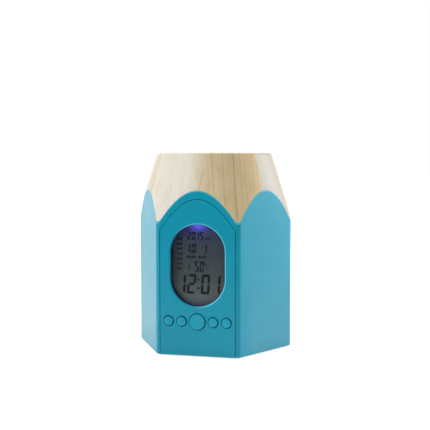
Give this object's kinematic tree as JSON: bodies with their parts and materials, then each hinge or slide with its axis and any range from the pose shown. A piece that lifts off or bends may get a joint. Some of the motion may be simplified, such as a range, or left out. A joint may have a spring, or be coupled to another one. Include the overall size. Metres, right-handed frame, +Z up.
{
  "type": "pen holder clock",
  "caption": "Desk pen holder shaped like the end of a hexagonal pencil, with a digital clock and push buttons in its front face.",
  "frame": {"origin": "centre of the bounding box in plan, on the surface that the feet stand on", "axes": "+Z up along the pencil's axis towards the cup's mouth, -Y out of the clock's face, +X to the right of someone who looks at the clock"},
  "size_m": [0.099, 0.0876, 0.1217],
  "materials": {
    "casing_blue": "satin",
    "collar_wood": "satin varnish",
    "cup_blue": "fine matt",
    "button_blue": "satin",
    "base_grey": "fine spark texture",
    "dark_plastic": "matt",
    "clear_lens": "clear",
    "display_glass": "anti-glare",
    "light_guide": "frosted",
    "circuit_board": "solder mask",
    "rubber": "matt",
    "steel": "plated",
    "cell_jacket": "printed film"
  },
  "bodies": {
    "casing": {"backlight_led": "light_guide", "base_plate": "base_grey", "base_screw_1": "steel", "base_screw_2": "steel", "base_screw_3": "steel", "base_screw_4": "steel", "battery_cell_1": "cell_jacket", "battery_cell_2": "cell_jacket", "battery_cell_3": "cell_jacket", "battery_spring_1": "steel", "battery_spring_2": "steel", "battery_spring_3": "steel", "board_screw_1": "steel", "board_screw_2": "steel", "board_screw_3": "steel", "board_screw_4": "steel", "body_shell": "casing_blue", "buzzer": "dark_plastic", "clock_chip": "dark_plastic", "contact_plate_1": "steel", "contact_plate_2": "steel", "contact_plate_3": "steel", "display_bezel": "dark_plastic", "foot_1": "rubber", "foot_2": "rubber", "foot_3": "rubber", "foot_4": "rubber", "front_panel": "casing_blue", "lcd_panel": "display_glass", "light_guide": "light_guide", "main_board": "circuit_board", "pen_cup": "cup_blue", "quartz_crystal": "steel", "switch_centre": "dark_plastic", "switch_left_inner": "dark_plastic", "switch_left_outer": "dark_plastic", "switch_right_inner": "dark_plastic", "switch_right_outer": "dark_plastic", "thermistor": "light_guide", "window_lens": "clear_lens", "wood_collar": "collar_wood", "zebra_strip": "rubber"},
    "button_left_outer": {"button_left_outer": "button_blue", "plunger_left_outer": "dark_plastic"},
    "button_left_inner": {"button_left_inner": "button_blue", "plunger_left_inner": "dark_plastic"},
    "button_centre": {"button_centre": "button_blue", "plunger_centre": "dark_plastic"},
    "button_right_inner": {"button_right_inner": "button_blue", "plunger_right_inner": "dark_plastic"},
    "button_right_outer": {"button_right_outer": "button_blue", "plunger_right_outer": "dark_plastic"},
    "battery_door": {"battery_door": "base_grey"}
  },
  "joints": [
    {"name": "press_left_outer", "type": "slide", "parent": "casing", "child": "button_left_outer", "axis": [0, 1, 0], "range_m": [0, 0.0006], "stiffness_N_per_m": 1000},
    {"name": "press_left_inner", "type": "slide", "parent": "casing", "child": "button_left_inner", "axis": [0, 1, 0], "range_m": [0, 0.0006], "stiffness_N_per_m": 1000},
    {"name": "press_centre", "type": "slide", "parent": "casing", "child": "button_centre", "axis": [0, 1, 0], "range_m": [0, 0.0006], "stiffness_N_per_m": 1000},
    {"name": "press_right_inner", "type": "slide", "parent": "casing", "child": "button_right_inner", "axis": [0, 1, 0], "range_m": [0, 0.0006], "stiffness_N_per_m": 1000},
    {"name": "press_right_outer", "type": "slide", "parent": "casing", "child": "button_right_outer", "axis": [0, 1, 0], "range_m": [0, 0.0006], "stiffness_N_per_m": 1000},
    {"name": "door_hinge", "type": "hinge", "parent": "casing", "child": "battery_door", "pos_m": [0, 0.01665, 0.0026], "axis": [1, 0, 0], "range_deg": [0, 70]}
  ]
}
